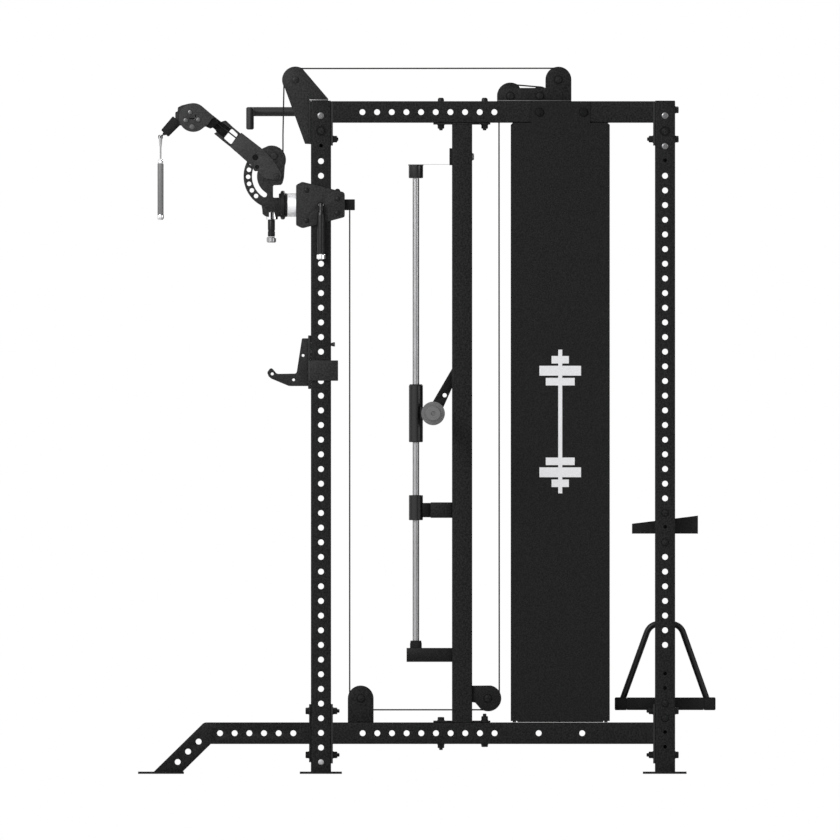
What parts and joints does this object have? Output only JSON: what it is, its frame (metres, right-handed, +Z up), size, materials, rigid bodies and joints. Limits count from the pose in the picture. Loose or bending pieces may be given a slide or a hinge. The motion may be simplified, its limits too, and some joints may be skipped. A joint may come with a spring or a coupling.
{
  "type": "power cage",
  "caption": "Four-post power cage with twin cable trainers, shrouded weight stacks, a smith bar on guide rods, bar holders and rear storage.",
  "frame": {"origin": "centre of the footprint, on the floor", "axes": "+Z up, -Y is the front where the user stands, X across the cage"},
  "size_m": [2.1, 2.0012, 2.451],
  "materials": {
    "frame_paint": "textured black powder coat",
    "plate_paint": "satin black powder coat",
    "arm_paint": "satin graphite powder coat",
    "chrome": "polished",
    "bar_sleeve": "satin",
    "grip": "fine knurl",
    "rubber": "matte",
    "plastic": "moulded",
    "cable": "coated steel rope",
    "cast_iron": "painted",
    "zinc": "zinc plated",
    "decal": "printed film"
  },
  "bodies": {
    "cage": {"front_cross_beam": "frame_paint", "rear_cross_beam": "frame_paint", "rear_base_beam": "frame_paint", "pull_up_bar": "frame_paint", "accessory_shelf": "plate_paint", "plate_rack": "frame_paint", "front_upright_right": "frame_paint", "front_upright_left": "frame_paint", "rear_upright_right": "frame_paint", "rear_upright_left": "frame_paint", "outrigger_right": "frame_paint", "outrigger_left": "frame_paint", "base_rail_right": "frame_paint", "base_rail_left": "frame_paint", "top_rail_right": "frame_paint", "top_rail_left": "frame_paint", "smith_upright_right": "frame_paint", "smith_upright_left": "frame_paint", "shroud_right": "plate_paint", "shroud_left": "plate_paint", "stack_guide_right": "chrome", "stack_guide_left": "chrome", "main_cable_right": "cable", "main_cable_left": "cable", "smith_guide_rod_right": "chrome", "smith_guide_rod_left": "chrome", "pulley_horn_right": "plate_paint", "pulley_horn_left": "plate_paint", "upper_cable_drop_right": "cable", "upper_cable_drop_left": "cable", "lower_cable_drop_right": "cable", "lower_cable_drop_left": "cable"},
    "smith_carriages": {"smith_carriage_right": "plate_paint", "smith_carriage_left": "plate_paint"},
    "smith_bar": {"smith_bar": "bar_sleeve", "smith_hook_right": "plate_paint", "smith_hook_left": "plate_paint"},
    "trainer_carriage_right": {"trainer_carriage_right": "plate_paint"},
    "swivel_yoke_right": {"swivel_yoke_right": "plate_paint"},
    "trainer_arm_right": {"trainer_arm_right": "arm_paint"},
    "handle_right": {"handle_right": "grip"},
    "cable_link_right": {"cable_link_right": "chrome"},
    "lock_lever_right": {"lock_lever_right": "plastic"},
    "pull_pin_right": {"pull_pin_right": "plastic"},
    "safety_stop_right": {"safety_stop_right": "plate_paint"},
    "bar_holder_right": {"bar_holder_right": "plate_paint"},
    "weight_stack_right": {"weight_stack_right": "cast_iron"},
    "top_front_pulley_right": {"top_front_pulley_right": "plastic"},
    "trainer_carriage_left": {"trainer_carriage_left": "plate_paint"},
    "swivel_yoke_left": {"swivel_yoke_left": "plate_paint"},
    "trainer_arm_left": {"trainer_arm_left": "arm_paint"},
    "handle_left": {"handle_left": "grip"},
    "cable_link_left": {"cable_link_left": "chrome"},
    "lock_lever_left": {"lock_lever_left": "plastic"},
    "pull_pin_left": {"pull_pin_left": "plastic"},
    "safety_stop_left": {"safety_stop_left": "plate_paint"},
    "bar_holder_left": {"bar_holder_left": "plate_paint"},
    "weight_stack_left": {"weight_stack_left": "cast_iron"},
    "top_front_pulley_left": {"top_front_pulley_left": "plastic"}
  },
  "joints": [
    {"name": "smith_lift", "type": "slide", "parent": "cage", "child": "smith_carriages", "axis": [0, 0, 1], "range_m": [-0.183, 0.711]},
    {"name": "smith_turn", "type": "hinge", "parent": "smith_carriages", "child": "smith_bar", "pos_m": [0, 0.0218, 1.249], "axis": [1, 0, 0], "range_deg": [-6, 20]},
    {"name": "trainer_slide_right", "type": "slide", "parent": "cage", "child": "trainer_carriage_right", "axis": [0, 0, 1], "range_m": [-0.3048, 0.0508], "deforming": ["upper_cable_drop_right", "lower_cable_drop_right"]},
    {"name": "lock_lever_right", "type": "slide", "parent": "trainer_carriage_right", "child": "lock_lever_right", "axis": [1, 0, 0], "range_m": [0, 0.018], "stiffness_N_per_m": 1500, "springref_m": -0.01},
    {"name": "arm_swivel_right", "type": "hinge", "parent": "trainer_carriage_right", "child": "swivel_yoke_right", "pos_m": [0.58, -0.498, 1.9708], "axis": [0, -1, 0], "range_deg": [-90, 90]},
    {"name": "arm_pitch_right", "type": "hinge", "parent": "swivel_yoke_right", "child": "trainer_arm_right", "pos_m": [0.58, -0.5211, 2.0705], "axis": [1, 0, 0], "range_deg": [0, 80]},
    {"name": "pull_pin_right", "type": "slide", "parent": "swivel_yoke_right", "child": "pull_pin_right", "axis": [0, 0, -1], "range_m": [0, 0.012], "stiffness_N_per_m": 1500, "springref_m": -0.01},
    {"name": "handle_pull_right", "type": "slide", "parent": "trainer_arm_right", "child": "cable_link_right", "axis": [0, 0, -1], "range_m": [0, 1.2]},
    {"name": "handle_swing_right", "type": "hinge", "parent": "cable_link_right", "child": "handle_right", "pos_m": [0.58, -0.9226, 2.134], "axis": [-1, 0, 0], "range_deg": [-60, 90]},
    {"name": "stack_lift_right", "type": "slide", "parent": "cage", "child": "weight_stack_right", "axis": [0, 0, 1], "range_m": [0, 0.6], "deforming": ["main_cable_right"]},
    {"name": "top_front_pulley_right", "type": "hinge", "parent": "cage", "child": "top_front_pulley_right", "pos_m": [0.58, -0.4551, 2.4046], "axis": [1, 0, 0], "continuous": true},
    {"name": "safety_stop_right", "type": "slide", "parent": "cage", "child": "safety_stop_right", "axis": [0, 0, 1], "range_m": [-0.4, 0.15]},
    {"name": "bar_holder_right", "type": "slide", "parent": "cage", "child": "bar_holder_right", "axis": [0, -1, 0], "range_m": [0, 0.12]},
    {"name": "trainer_slide_left", "type": "slide", "parent": "cage", "child": "trainer_carriage_left", "axis": [0, 0, 1], "range_m": [-0.3048, 0.0508], "deforming": ["upper_cable_drop_left", "lower_cable_drop_left"]},
    {"name": "lock_lever_left", "type": "slide", "parent": "trainer_carriage_left", "child": "lock_lever_left", "axis": [-1, 0, 0], "range_m": [0, 0.018], "stiffness_N_per_m": 1500, "springref_m": -0.01},
    {"name": "arm_swivel_left", "type": "hinge", "parent": "trainer_carriage_left", "child": "swivel_yoke_left", "pos_m": [-0.58, -0.498, 1.9708], "axis": [0, 1, 0], "range_deg": [-90, 90]},
    {"name": "arm_pitch_left", "type": "hinge", "parent": "swivel_yoke_left", "child": "trainer_arm_left", "pos_m": [-0.58, -0.5211, 2.0705], "axis": [1, 0, 0], "range_deg": [0, 80]},
    {"name": "pull_pin_left", "type": "slide", "parent": "swivel_yoke_left", "child": "pull_pin_left", "axis": [0, 0, -1], "range_m": [0, 0.012], "stiffness_N_per_m": 1500, "springref_m": -0.01},
    {"name": "handle_pull_left", "type": "slide", "parent": "trainer_arm_left", "child": "cable_link_left", "axis": [0, 0, -1], "range_m": [0, 1.2]},
    {"name": "handle_swing_left", "type": "hinge", "parent": "cable_link_left", "child": "handle_left", "pos_m": [-0.58, -0.9226, 2.134], "axis": [-1, 0, 0], "range_deg": [-60, 90]},
    {"name": "stack_lift_left", "type": "slide", "parent": "cage", "child": "weight_stack_left", "axis": [0, 0, 1], "range_m": [0, 0.6], "deforming": ["main_cable_left"]},
    {"name": "top_front_pulley_left", "type": "hinge", "parent": "cage", "child": "top_front_pulley_left", "pos_m": [-0.58, -0.4551, 2.4046], "axis": [1, 0, 0], "continuous": true},
    {"name": "safety_stop_left", "type": "slide", "parent": "cage", "child": "safety_stop_left", "axis": [0, 0, 1], "range_m": [-0.4, 0.15]},
    {"name": "bar_holder_left", "type": "slide", "parent": "cage", "child": "bar_holder_left", "axis": [0, -1, 0], "range_m": [0, 0.12]}
  ],
  "couplings": [
    {"joint": "handle_pull_right", "follows": "stack_lift_right", "ratio": 2},
    {"joint": "top_front_pulley_right", "follows": "stack_lift_right", "rad_per_m": 50.633},
    {"joint": "handle_pull_left", "follows": "stack_lift_left", "ratio": 2},
    {"joint": "top_front_pulley_left", "follows": "stack_lift_left", "rad_per_m": 50.633}
  ]
}
